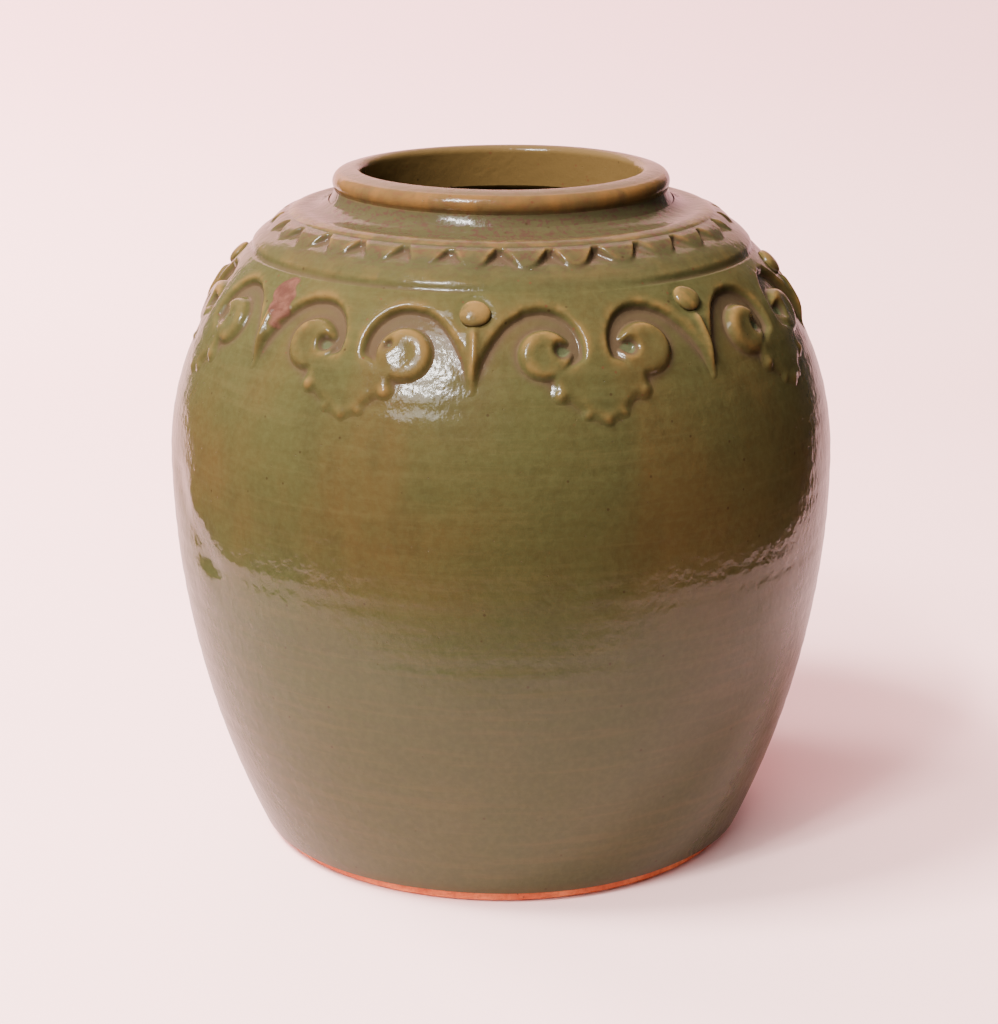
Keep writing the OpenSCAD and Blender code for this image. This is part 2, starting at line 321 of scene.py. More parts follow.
def sample(field, az, th):
    """Reads a grid of the collar at points; nought away from it."""
    c = ((az - AZ[0]) / CELL) % len(AZ)
    r = np.clip((th - TH[0]) / CELL, 0, len(TH) - 1.001)
    c0, r0 = np.floor(c).astype(int) % len(AZ), np.floor(r).astype(int)
    fc, fr = c - np.floor(c), r - r0
    c1 = (c0 + 1) % len(AZ)
    v = (field[r0, c0] * (1 - fc) + field[r0, c1] * fc) * (1 - fr)
    v = v + (field[r0 + 1, c0] * (1 - fc) + field[r0 + 1, c1] * fc) * fr
    return v * smooth(15.5, 17.0, th)


# ---------------------------------------------------------------- making meshes
def build(name, nodes, pts, faces, ring, thin, pool, bare, mat):
    """One closed piece. Edges inside a ring number above nought are creases in the shading."""
    me = bpy.data.meshes.new(name)
    v = warp(pts) * MM
    sizes = np.array([len(f) for f in faces]) if isinstance(faces, list) else None
    if sizes is None:
        loops = faces.reshape(-1)
        sizes = np.full(len(faces), faces.shape[1])
    else:
        loops = np.concatenate([np.asarray(f) for f in faces])
    me.vertices.add(len(v))
    me.vertices.foreach_set("co", v.astype(np.float32).ravel())
    me.loops.add(len(loops))
    me.loops.foreach_set("vertex_index", loops.astype(np.int32))
    me.polygons.add(len(sizes))
    me.polygons.foreach_set("loop_start", (np.cumsum(sizes) - sizes).astype(np.int32))
    me.polygons.foreach_set("use_smooth", np.ones(len(sizes), dtype=bool))
    me.update(calc_edges=True)
    e = np.zeros(len(me.edges) * 2, dtype=np.int32)
    me.edges.foreach_get("vertices", e)
    e = e.reshape(-1, 2)
    sharp = (ring[e[:, 0]] == ring[e[:, 1]]) & (ring[e[:, 0]] > 0)
    me.attributes.new("sharp_edge", "BOOLEAN", "EDGE").data.foreach_set("value", sharp)
    for key, val in (("thin", thin), ("pool", pool), ("bare", bare)):
        me.attributes.new(key, "FLOAT", "POINT").data.foreach_set("value", np.asarray(val, dtype=np.float32))
    me.validate()
    me.materials.append(mat)
    ob = bpy.data.objects.new(name, me)
    bpy.context.scene.collection.objects.link(ob)
    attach(ob, "root")
    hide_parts(*nodes)
    return ob


def arc(cx, cz, r, a0, a1, n):
    a = np.radians(np.linspace(a0, a1, n))
    return np.stack([cx + r * np.cos(a), cz + r * np.sin(a)], 1)


def line(p, q, n):
    t = np.linspace(0, 1, n)[:, None]
    return np.array(p) * (1 - t) + np.array(q) * t


def chain(*runs):
    """Joins runs of profile points, without repeats."""
    pts = []
    for r in runs:
        for q in r:
            if pts and np.hypot(*(pts[-1] - q)) < 1e-4:
                continue
            pts.append(np.asarray(q, float))
    if np.hypot(*(pts[-1] - pts[0])) < 1e-4:
        pts.pop()
    return np.array(pts)


def lathe(name, node, prof, cols, mat, look, axis_ends=False, crease_deg=35, bare=None):
    """Turns a closed profile of (r, z), anticlockwise with r to the right. axis_ends: it ends on the axis."""
    n = len(prof)
    nxt, prv = np.roll(prof, -1, 0), np.roll(prof, 1, 0)
    a, b = prof - prv, nxt - prof
    turn = np.degrees(np.abs(np.arctan2(a[:, 0] * b[:, 1] - a[:, 1] * b[:, 0], (a * b).sum(1))))
    crease = turn > crease_deg
    az = np.linspace(0, 360, cols, endpoint=False)
    ca, sa = np.sin(np.radians(az)), -np.cos(np.radians(az))
    ring_pts = prof[1:-1] if axis_ends else prof
    ring_cr = crease[1:-1] if axis_ends else crease
    m = len(ring_pts)
    x = ring_pts[:, 0][:, None] * ca[None]
    y = ring_pts[:, 0][:, None] * sa[None]
    z = np.repeat(ring_pts[:, 1][:, None], cols, 1)
    pts = np.stack([x.ravel(), y.ravel(), z.ravel()], 1)
    ids = np.where(ring_cr, np.arange(m) + 1, 0)
    ring = np.repeat(ids, cols)
    idx = np.arange(m * cols).reshape(m, cols)
    rows = range(m - 1) if axis_ends else range(m)
    faces = []
    for i in rows:
        k = (i + 1) % m
        q = np.stack([idx[i], np.roll(idx[i], -1), np.roll(idx[k], -1), idx[k]], 1)
        faces.append(q)
    faces = np.concatenate(faces)
    if axis_ends:
        pts = np.concatenate([pts, [[0, 0, prof[0, 1]], [0, 0, prof[-1, 1]]]])
        ring = np.concatenate([ring, [0, 0]])
        f = [list(q) for q in faces]
        lo, hi = m * cols, m * cols + 1
        f += [[lo, int(idx[0][(c + 1) % cols]), int(idx[0][c])] for c in range(cols)]
        f += [[hi, int(idx[-1][c]), int(idx[-1][(c + 1) % cols])] for c in range(cols)]
        faces = f
    thin, pool = look(pts)
    unglazed = bare(pts) if bare else np.zeros(len(pts))
    return build(name, [node], pts, faces, ring, thin, pool, unglazed, mat)


def on_shoulder(az, th, up):
    a, t = np.radians(az), np.radians(th)
    r = SH_C + (SH_R + up) * np.cos(t)
    return np.stack([r * np.sin(a), -r * np.cos(a), BELLY_Z + (SH_R + up) * np.sin(t)], -1)


def patch(name, node, c0, c1, r0, r1, mat, bare=None, depth=0.7):
    """A closed sheet of the collar: the cells of the grid between those columns and rows that stand up."""
    cols = np.arange(c0, c1 + 1)
    rows = np.arange(r0, r1 + 1)
    h = RELIEF[np.ix_(rows, cols % len(AZ))]
    up = h > -0.05
    cell = up[:-1, :-1] | up[1:, :-1] | up[:-1, 1:] | up[1:, 1:]
    # no two cells may touch at a corner only
    for _ in range(6):
        a, b, c, d = cell[:-1, :-1], cell[:-1, 1:], cell[1:, :-1], cell[1:, 1:]
        d1, d2 = a & d & ~b & ~c, b & c & ~a & ~d
        if not (d1.any() or d2.any()):
            break
        cell[:-1, 1:] |= d1
        cell[:-1, :-1] |= d2
    keep = biggest(cell)
    used = np.zeros(h.shape, bool)
    for dy in (0, 1):
        for dx in (0, 1):
            used[dy:dy + keep.shape[0], dx:dx + keep.shape[1]] |= keep
    num = np.full(h.shape, -1)
    num[used] = np.arange(used.sum())
    n = int(used.sum())
    az = np.repeat(AZ[0] + CELL * cols[None], len(rows), 0)
    th = np.repeat((TH[0] + CELL * rows)[:, None], len(cols), 1)
    top = on_shoulder(az[used], th[used], h[used])
    low = on_shoulder(az[used], th[used], np.full(n, -depth))
    ys, xs = np.nonzero(keep)
    q = np.stack([num[ys, xs], num[ys, xs + 1], num[ys + 1, xs + 1], num[ys + 1, xs]], 1)
    under = q[:, ::-1] + n
    pad = np.pad(keep, 1)
    core = pad[1:-1, 1:-1]
    side = []
    corners = ((0, 0), (0, 1), (1, 1), (1, 0))
    for (dy, dx), p, r in zip(((-1, 0), (0, 1), (1, 0), (0, -1)), corners, corners[1:] + corners[:1]):
        edge = core & ~pad[1 + dy:pad.shape[0] - 1 + dy, 1 + dx:pad.shape[1] - 1 + dx]
        ey, ex = np.nonzero(edge)
        i, k = num[ey + p[0], ex + p[1]], num[ey + r[0], ex + r[1]]
        side.append(np.stack([k, i, i + n, k + n], 1))
    side = np.concatenate(side)
    rim = np.zeros(2 * n, int)
    rim[side[:, 0]] = 1
    rim[side[:, 1]] = 1
    rim[side[:, 2]] = 2
    rim[side[:, 3]] = 2
    faces = np.concatenate([q, under, side])
    cc = cols % len(AZ)
    thin = np.concatenate([THIN[np.ix_(rows, cc)][used], np.zeros(n)])
    pool = np.concatenate([POOL[np.ix_(rows, cc)][used], np.zeros(n)])
    pts = np.concatenate([top, low])
    unglazed = np.tile(bare(az[used], th[used]), 2) if bare else np.zeros(2 * n)
    return build(name, [node], pts, faces, rim, thin, pool, unglazed, mat)


def biggest(cell):
    """The largest set of cells joined by their sides."""
    lab = np.zeros(cell.shape, int)
    best, size, k = None, 0, 0
    for y, x in zip(*np.nonzero(cell)):
        if lab[y, x]:
            continue
        k += 1
        stack, cnt = [(y, x)], 0
        lab[y, x] = k
        while stack:
            a, b = stack.pop()
            cnt += 1
            for p, q in ((a + 1, b), (a - 1, b), (a, b + 1), (a, b - 1)):
                if 0 <= p < cell.shape[0] and 0 <= q < cell.shape[1] and cell[p, q] and not lab[p, q]:
                    lab[p, q] = k
                    stack.append((p, q))
        if cnt > size:
            best, size = k, cnt
    return lab == best


# ---------------------------------------------------------------- materials
def nodes_for(name):
    mat = bpy.data.materials.new(name)
    mat.use_nodes = True
    nt = mat.node_tree
    nt.nodes.clear()
    return mat, nt


class Graph:
    """Short hand for joining shader nodes."""

    def __init__(self, nt):
        self.nt = nt

    def add(self, kind, **sets):
        n = self.nt.nodes.new(kind)
        for k, v in sets.items():
            setattr(n, k, v)
        return n

    def put(self, sock, v):
        if isinstance(v, bpy.types.NodeSocket):
            self.nt.links.new(v, sock)
        else:
            sock.default_value = v

    def math(self, op, a, b=0.0, c=0.0, clamp=False):
        n = self.add("ShaderNodeMath", operation=op, use_clamp=clamp)
        for i, v in enumerate((a, b, c)):
            self.put(n.inputs[i], v)
        return n.outputs[0]

    def ramp(self, v, a, b, lo=0.0, hi=1.0):
        n = self.add("ShaderNodeMapRange", interpolation_type="SMOOTHSTEP")
        for i, w in enumerate((v, a, b, lo, hi)):
            self.put(n.inputs[i], w)
        return n.outputs[0]

    def noise(self, vec, scale, detail=2.0, rough=0.5, dist=0.0):
        n = self.add("ShaderNodeTexNoise")
        self.put(n.inputs["Vector"], vec)
        n.inputs["Scale"].default_value = scale
        n.inputs["Detail"].default_value = detail
        n.inputs["Roughness"].default_value = rough
        n.inputs["Distortion"].default_value = dist
        return n.outputs["Fac"]

    def mix(self, f, a, b):
        n = self.add("ShaderNodeMix", data_type="RGBA")
        self.put(n.inputs[0], f)
        self.put(n.inputs[6], a)
        self.put(n.inputs[7], b)
        return n.outputs[2]

    def attr(self, name):
        return self.add("ShaderNodeAttribute", attribute_name=name).outputs["Fac"]

    def scaled(self, vec, s):
        n = self.add("ShaderNodeVectorMath", operation="MULTIPLY")
        self.put(n.inputs[0], vec)
        n.inputs[1].default_value = s
        return n.outputs[0]


def rgb(r, g, b):
    """Linear colour from sRGB 0-255."""
    f = [c / 255 for c in (r, g, b)]
    return tuple(c / 12.92 if c <= 0.04045 else ((c + 0.055) / 1.055) ** 2.4 for c in f) + (1.0,)


def dots(g, pos, scale, size, chance):
    """Small round spots: one for each cell that the chance picks."""
    v = g.add("ShaderNodeTexVoronoi", feature="F1")
    g.put(v.inputs["Vector"], pos)
    v.inputs["Scale"].default_value = scale
    sep = g.add("ShaderNodeSeparateColor")
    g.put(sep.inputs[0], v.outputs["Color"])
    near = g.ramp(v.outputs["Distance"], size, size * 0.45)
    pick = g.math("LESS_THAN", sep.outputs[0], chance)
    return g.math("MULTIPLY", near, pick)


TINT = {
    "green": rgb(59, 55, 30),
    "brown": rgb(67, 54, 29),
    "dark": rgb(48, 42, 23),
    "cool": rgb(49, 56, 32),
    "grain": rgb(82, 84, 52),
    "line": rgb(76, 67, 40),
    "neck": rgb(55, 49, 34),
    "iron": rgb(60, 38, 32),
    # painted light: lighter than the body, for the inside of the mouth
    "inside": rgb(76, 59, 32),
    "thin": rgb(118, 86, 46),
    "pooled": rgb(66, 50, 38),
    "deep": rgb(60, 70, 46),
    "rim": rgb(100, 68, 35),
    "lip": rgb(82, 64, 41),
    "foot": rgb(66, 50, 28),
    "fleck": rgb(78, 40, 28),
    "speck": rgb(46, 34, 20),
    "pinhole": rgb(60, 46, 28),
    "clay_dark": rgb(68, 42, 34),
    "clay_pale": rgb(86, 56, 45),
    "clay_under": rgb(186, 92, 54),
}


def glaze():
    mat, nt = nodes_for("glaze")
    g = Graph(nt)
    pos = g.add("ShaderNodeTexCoord").outputs["Object"]
    sep = g.add("ShaderNodeSeparateXYZ")
    g.put(sep.inputs[0], pos)
    x, y, z = sep.outputs
    rad = g.math("SQRT", g.math("ADD", g.math("MULTIPLY", x, x), g.math("MULTIPLY", y, y)))
    thin, pool, bare = g.attr("thin"), g.attr("pool"), g.attr("bare")
    flow = g.scaled(pos, (1.0, 1.0, 0.6))
    big = g.noise(flow, 26.0, 3.0, 0.55, 0.4)
    mid = g.noise(flow, 95.0, 4.0, 0.6, 0.6)
    fine = g.noise(pos, 700.0, 3.0, 0.6)
    greener = g.math("ADD", big, g.ramp(z, 0.095, 0.125, -0.07, 0.07))
    base = g.mix(g.ramp(greener, 0.36, 0.62), TINT["brown"], TINT["green"])
    base = g.mix(g.ramp(mid, 0.42, 0.75, 0.0, 0.45), base, TINT["dark"])
    # cooler and greener below the belly
    base = g.mix(g.ramp(z, 0.092, 0.062, 0.0, 0.8), base, TINT["cool"])
    base = g.mix(g.ramp(fine, 0.35, 0.7, 0.0, 0.12), base, TINT["grain"])
    lines = g.noise(g.scaled(pos, (0.5, 0.5, 9.0)), 60.0, 4.0, 0.65, 0.2)
    base = g.mix(g.ramp(lines, 0.48, 0.68, 0.0, 0.22), base, TINT["line"])
    # neck and cove: browner, with iron-red flecks
    high = g.ramp(z, 0.140, 0.151)
    base = g.mix(g.math("MULTIPLY", high, 0.6), base, TINT["neck"])
    red = g.noise(g.scaled(pos, (1.0, 1.0, 1.6)), 620.0, 5.0, 0.75, 0.3)
    redness = g.math("MULTIPLY", g.ramp(red, 0.50, 0.58), g.ramp(z, 0.143, 0.1505))
    base = g.mix(g.math("MULTIPLY", redness, 0.8), base, TINT["iron"])
    # inside the mouth: browner glaze, and painted light that makes it lighter than the body
    mouth_lightening = g.math("MULTIPLY", g.ramp(rad, 0.0345, 0.0330), g.ramp(z, 0.09, 0.13))
    base = g.mix(mouth_lightening, base, TINT["inside"])
    # thin on what stands up, pooled in what lies low
    patchy = g.ramp(g.noise(pos, 160.0, 3.0, 0.6), 0.42, 0.62, 0.25, 1.0)
    worn = g.math("MULTIPLY", thin, patchy, clamp=True)
    base = g.mix(g.math("MULTIPLY", worn, 0.62), base, TINT["thin"])
    base = g.mix(g.ramp(pool, 0.06, 0.45, 0.0, 0.75), base, TINT["pooled"])
    base = g.mix(g.ramp(pool, 0.62, 0.95, 0.0, 0.6), base, TINT["deep"])
    # rim band and lip
    band = g.math("MULTIPLY", g.ramp(rad, 0.0368, 0.0380), g.ramp(z, 0.1546, 0.1562))
    base = g.mix(g.math("MULTIPLY", band, g.ramp(mid, 0.35, 0.65, 0.95, 0.4)), base, TINT["rim"])
    base = g.mix(g.math("MULTIPLY", g.ramp(z, 0.1585, 0.1597), 0.6), base, TINT["lip"])
    # glaze thick along the foot
    base = g.mix(g.math("MULTIPLY", g.ramp(z, 0.006, 0.0025), 0.5), base, TINT["foot"])
    # specks and pinholes
    flecks = g.math("MULTIPLY", dots(g, pos, 340.0, 0.14, 0.3), g.ramp(z, 0.108, 0.132))
    base = g.mix(g.math("MULTIPLY", flecks, 0.6), base, TINT["fleck"])
    specks = dots(g, pos, 230.0, 0.10, 0.4)
    base = g.mix(g.math("MULTIPLY", specks, 0.75), base, TINT["speck"])
    pins = dots(g, pos, 520.0, 0.10, 0.22)
    base = g.mix(g.math("MULTIPLY", pins, 0.5), base, TINT["pinhole"])
    # bare clay: the scar on the collar, and orange under the floor
    clay = g.mix(g.ramp(g.noise(pos, 300.0, 4.0, 0.6), 0.35, 0.65), TINT["clay_dark"], TINT["clay_pale"])
    clay = g.mix(g.ramp(z, 0.012, 0.008), clay, TINT["clay_under"])
    base = g.mix(bare, base, clay)
    rough = g.math("ADD", g.ramp(mid, 0.3, 0.7, 0.34, 0.46), g.math("MULTIPLY", bare, 0.35), clamp=True)
    # the skin: slow swells, orange peel, and the pinholes sunk in it
    swell = g.noise(pos, 150.0, 2.0, 0.5)
    orange = g.noise(pos, 520.0, 2.0, 0.5)
    height = g.math("ADD", g.math("MULTIPLY", swell, 0.00018), g.math("MULTIPLY", orange, 0.00011))
    height = g.math("ADD", height, g.math("MULTIPLY", fine, 0.00003))
    height = g.math("SUBTRACT", height, g.math("MULTIPLY", pins, 0.00006))
    height = g.math("ADD", height, g.math("MULTIPLY", g.math("MULTIPLY", bare, fine), 0.0002))
    bump = g.add("ShaderNodeBump")
    bump.inputs["Distance"].default_value = 1.0
    bump.inputs["Strength"].default_value = 1.0
    g.put(bump.inputs["Height"], height)
    b = g.add("ShaderNodeBsdfPrincipled")
    g.put(b.inputs["Base Color"], base)
    g.put(b.inputs["Roughness"], rough)
    b.inputs["IOR"].default_value = 1.5
    b.inputs["Specular IOR Level"].default_value = 0.0
    g.put(b.inputs["Coat Weight"], g.math("MULTIPLY_ADD", bare, -0.36, 0.43, clamp=True))
    b.inputs["Coat Roughness"].default_value = 0.13
    b.inputs["Coat IOR"].default_value = 1.5
    g.put(b.inputs["Normal"], bump.outputs[0])
    g.put(b.inputs["Coat Normal"], bump.outputs[0])
    out = g.add("ShaderNodeOutputMaterial")
    g.put(out.inputs[0], b.outputs[0])
    return mat


def biscuit():
    mat, nt = nodes_for("bare_clay")
    g = Graph(nt)
    pos = g.add("ShaderNodeTexCoord").outputs["Object"]
    a = g.noise(pos, 90.0, 4.0, 0.6)
    b_ = g.noise(pos, 900.0, 3.0, 0.6)
    col = g.mix(g.ramp(a, 0.35, 0.65), rgb(196, 92, 50), rgb(222, 128, 76))
    col = g.mix(g.ramp(b_, 0.4, 0.7, 0.0, 0.5), col, rgb(156, 74, 42))
    grit = dots(g, pos, 600.0, 0.16, 0.25)
    col = g.mix(grit, col, rgb(92, 54, 38))
    bump = g.add("ShaderNodeBump")
    bump.inputs["Distance"].default_value = 1.0
    g.put(bump.inputs["Height"], g.math("MULTIPLY", b_, 0.00012))
    b = g.add("ShaderNodeBsdfPrincipled")
    g.put(b.inputs["Base Color"], col)
    b.inputs["Roughness"].default_value = 0.8
    g.put(b.inputs["Normal"], bump.outputs[0])
    g.put(g.add("ShaderNodeOutputMaterial").inputs[0], b.outputs[0])
    return mat


GLAZE, BARE = glaze(), biscuit()


# ---------------------------------------------------------------- the pieces
def wall_look(pts):
    """Thin and pooled glaze on a turned piece: from the collar's grid where a point is on the outer skin."""
    r = np.hypot(pts[:, 0], pts[:, 1])
    az = np.degrees(np.arctan2(pts[:, 0], -pts[:, 1]))
    th = np.degrees(np.arctan2(pts[:, 2] - BELLY_Z, r - SH_C))
    rho = np.hypot(pts[:, 2] - BELLY_Z, r - SH_C)
    on = (np.abs(rho - SH_R) < 0.2) & (pts[:, 2] > BELLY_Z)
    t = np.clip(th, TH[0], TH[-1])
    return np.zeros(len(pts)), np.where(on, sample(POOL, az, t), 0.0)


def plain(pts):
    return np.zeros(len(pts)), np.zeros(len(pts))


def low_r(z, grow=0.0):
    return BELLY_R - LOW_R + np.sqrt((LOW_R + grow) ** 2 - (BELLY_Z - z) ** 2)


def low_run(z0, z1, grow, n):
    z = np.linspace(z0, z1, n)
    return np.stack([low_r(z, grow), z], 1)


SPIGOT_R = FOOT_R - 4.0
FLOOR_Z = FOOT_LIFT + FLOOR_T
COLS = 720

foot = chain(line([48.9, 0.25], [49.4, 0.0], 3), line([49.4, 0.0], [55.9, 0.0], 8),
             arc(56.1, 0.9, 0.9, -80, 0, 7),
             line([FOOT_R, 0.95], [FOOT_R, FOOT_SHOW], 5),
             line([FOOT_R, FOOT_SHOW], [SPIGOT_R, FOOT_SHOW], 5),
             line([SPIGOT_R, FOOT_SHOW], [SPIGOT_R, FOOT_LIFT], 5),
             line([SPIGOT_R, FOOT_LIFT], [FOOT_IN, FOOT_LIFT], 5),
             line([FOOT_IN, FOOT_LIFT], [FOOT_IN, 1.2], 7), line([FOOT_IN, 1.2], [48.9, 0.25], 4))
lathe("foot_ring_clay", "foot_ring", foot, COLS, BARE, plain)

base = chain(line([0, FOOT_LIFT], [SPIGOT_R, FOOT_LIFT], 30),
             line([SPIGOT_R, FOOT_LIFT], [SPIGOT_R, FLOOR_Z], 6),
             line([SPIGOT_R, FLOOR_Z], [0, FLOOR_Z], 30))


def underside(pts):
    """The floor is glazed inside and bare underneath."""
    return np.where(pts[:, 2] < FOOT_LIFT + 0.01, 1.0, 0.0)


lathe("base_disc_floor", "base_disc", base, COLS // 3, GLAZE, plain, axis_ends=True, bare=underside)

SH_IN_R = SH_R - WALL_T
lap_r = SH_R - WALL_T / 2
lap_a = math.degrees(math.asin(LAP_H / lap_r))
in_lap_a = math.degrees(math.asin(LAP_H / SH_IN_R))
lower = chain(line([SPIGOT_R, FOOT_SHOW], [FOOT_R, FOOT_SHOW], 6),
              arc(FOOT_R + 0.15, FOOT_SHOW + 0.75, 0.75, -85, -8, 7),
              low_run(FOOT_SHOW + 0.75, BELLY_Z, 0, 78),
              line([BELLY_R, BELLY_Z], [BELLY_R - WALL_T / 2, BELLY_Z], 3),
              arc(SH_C, BELLY_Z, lap_r, 0, lap_a, 3),
              arc(SH_C, BELLY_Z, SH_IN_R, in_lap_a, 0, 3),
              low_run(BELLY_Z, FLOOR_Z, -WALL_T, 24),
              line([low_r(FLOOR_Z, -WALL_T), FLOOR_Z], [SPIGOT_R, FLOOR_Z], 4),
              line([SPIGOT_R, FLOOR_Z], [SPIGOT_R, FOOT_SHOW], 6))
lathe("lower_wall_thrown", "lower_wall", lower, COLS, GLAZE, plain)

cut_a = math.degrees(math.acos((SEAT_R - SH_C) / SH_IN_R))
cut_z = BELLY_Z + SH_IN_R * math.sin(math.radians(cut_a))
cove_c = NECK_R + COVE_R
cove_top = COVE_Z + COVE_R
seat_z = cove_top - math.sqrt(COVE_R ** 2 - (cove_c - SEAT_R) ** 2)
cove_a = math.degrees(math.atan2(seat_z - COVE_Z - COVE_R, SEAT_R - cove_c)) % 360
shoulder = np.concatenate([np.linspace(0, 17, 16), np.arange(17.5, 47.6, 0.5), np.linspace(48.5, TOP_A, 14)])
up_a = np.radians(shoulder)
sh_run = np.stack([SH_C + SH_R * np.cos(up_a), BELLY_Z + SH_R * np.sin(up_a)], 1)
upper = chain(sh_run, arc(cove_c, cove_top, COVE_R, 270, cove_a, 10),
              line([SEAT_R, seat_z], [SEAT_R, cut_z], 6),
              arc(SH_C, BELLY_Z, SH_IN_R, cut_a, in_lap_a, 26),
              arc(SH_C, BELLY_Z, lap_r, lap_a, 0, 3),
              line([BELLY_R - WALL_T / 2, BELLY_Z], [BELLY_R, BELLY_Z], 3))
lathe("upper_wall_shoulder", "upper_wall", upper, COLS, GLAZE, wall_look)

in_a = math.degrees(math.acos((BORE_R - SH_C) / SH_IN_R))
in_z = BELLY_Z + SH_IN_R * math.sin(math.radians(in_a))
cove_end = 180 + math.degrees(math.asin((cove_top - RIM_Z) / COVE_R))
ROUNDED = 0.8  # how much of the inside edge is taken off, mm and degrees
neck = chain(arc(cove_c, cove_top, COVE_R, cove_a, cove_end, 22),
             line([NECK_R, RIM_Z], [BORE_R, RIM_Z], 5),
             line([BORE_R, RIM_Z], [BORE_R, in_z + ROUNDED], 10),
             arc(SH_C, BELLY_Z, SH_IN_R, in_a - ROUNDED, cut_a, 12),
             line([SEAT_R, cut_z], [SEAT_R, seat_z], 6))
lathe("neck_ring_cove", "neck_ring", neck, COLS, GLAZE, plain)

rim = chain(line([BORE_R, RIM_Z], [38.2, RIM_Z], 6), line([38.2, RIM_Z], [38.32, 155.0], 3),
            np.array([(38.5, 154.85), (38.68, 154.95), (38.8, 155.2)]),
            arc(36.55, 156.85, 2.65, -30, 62, 18), arc(33.9, 150.3, 9.65, 68, 88, 9),
            arc(34.2, 158.25, 1.7, 88, 180, 12), line([BORE_R, 158.2], [BORE_R, RIM_Z], 7))
lathe("rim_ring_lip", "rim_ring", rim, COLS, GLAZE, plain)


# the band's top, (part of the way in, r, z): a rounded shoulder, a nearly level slope, then the cove's face
# and back just behind it
BAND_RUN = ((0.35, 49.0, 150.72), (0.7, 48.2, 150.98), (1.0, 47.4, 151.08), (1.0, 46.4, 151.05),
            (1.0, 45.4, 150.98), (1.0, 44.4, 150.98), (1.0, 43.4, 151.12), (1.0, 42.4, 151.42),
            (1.0, 41.6, 151.78), (1.0, 40.9, 152.2), (1.0, 40.3, 152.66), (1.0, 40.25, 152.5),
            (1.0, 40.9, 151.6), (1.0, 42.4, 150.2))


def band_piece():
    """The toothed band: the collar's rows above the lappets, its slope in to the cove, closed underneath."""
    rows = np.arange(round((BAND_LO - TH[0]) / CELL), round((BAND_TOP - TH[0]) / CELL) + 1)
    n = len(AZ)
    a = np.radians(AZ)
    rings = [on_shoulder(AZ, TH[0] + CELL * r, RELIEF[r]) for r in rows]
    thin, pool = [THIN[r] for r in rows], [POOL[r] for r in rows]
    edge = np.hypot(rings[-1][:, 0], rings[-1][:, 1])
    edge_z = rings[-1][:, 2]
    for f, r, z in BAND_RUN:
        wave = 0.12 * ripple(AZ, 37, 6, 1.0) * smooth(43.0, 48.0, np.full(n, r))
        rr = edge * (1 - f) + (r + wave) * f
        zz = edge_z * (1 - f) + (z + 0.3 * wave) * f
        rings.append(np.stack([rr * np.sin(a), -rr * np.cos(a), zz], 1))
        thin.append(np.full(n, 0.55 * smooth(45.5, 49.0, r)))
        pool.append(np.zeros(n))
    top = len(rings)
    for t in np.linspace(BAND_TOP, BAND_LO, 5):
        rings.append(on_shoulder(AZ, t, np.full(n, -0.7)))
        thin.append(np.zeros(n))
        pool.append(np.zeros(n))
    m = len(rings)
    ids = np.zeros(m, int)
    ids[0], ids[top - 4], ids[top], ids[m - 1] = 1, 2, 3, 4
    idx = np.arange(m * n).reshape(m, n)
    nx, up = np.roll(idx, -1, 1), np.roll(idx, -1, 0)
    faces = np.stack([idx, nx, np.roll(up, -1, 1), up], -1).reshape(-1, 4)
    return build("tooth_band_pressed", ["tooth_band"], np.concatenate(rings), faces, np.repeat(ids, n),
                 np.concatenate(thin), np.concatenate(pool), np.zeros(m * n), GLAZE)


band_piece()
LOW_ROW, TOP_ROW = round((19.0 - TH[0]) / CELL), round((BAND_LO - TH[0]) / CELL)


def col_of(az):
    return int(round((az - AZ[0]) / CELL))


def scar(az, th):
    """Bare clay where a bead has come away, on the first pendant to the left of the front."""
    wob = 1.0 + 0.16 * np.sin(np.radians(az * 47)) + 0.12 * np.sin(th * 1.9)
    d = np.hypot((wrap(az + 49.0 + 0.25 * (th - 41))) / 3.5, (th - 41.0) / 4.3)
    return smooth(1.08, 0.88, d * wob)


LAPPET_HALF, PENDANT_HALF = 70, 20  # columns of the grid
for k in range(PETALS):
    cp = col_of(wrap(PATTERN + k * STEP_A))
    cl = cp + col_of(AZ[0] + STEP_A / 2)
    patch(f"lappet_{k + 1}_scroll", f"lappet_{k + 1}", cl - LAPPET_HALF, cl + LAPPET_HALF, LOW_ROW, TOP_ROW,
          GLAZE, bare=scar if k in (LOST_BEAD - 1, LOST_BEAD) else None)
    patch(f"pendant_{k + 1}_tongue", f"pendant_{k + 1}", cp - PENDANT_HALF, cp + PENDANT_HALF, LOW_ROW,
          TOP_ROW, GLAZE, bare=scar if k == LOST_BEAD else None)


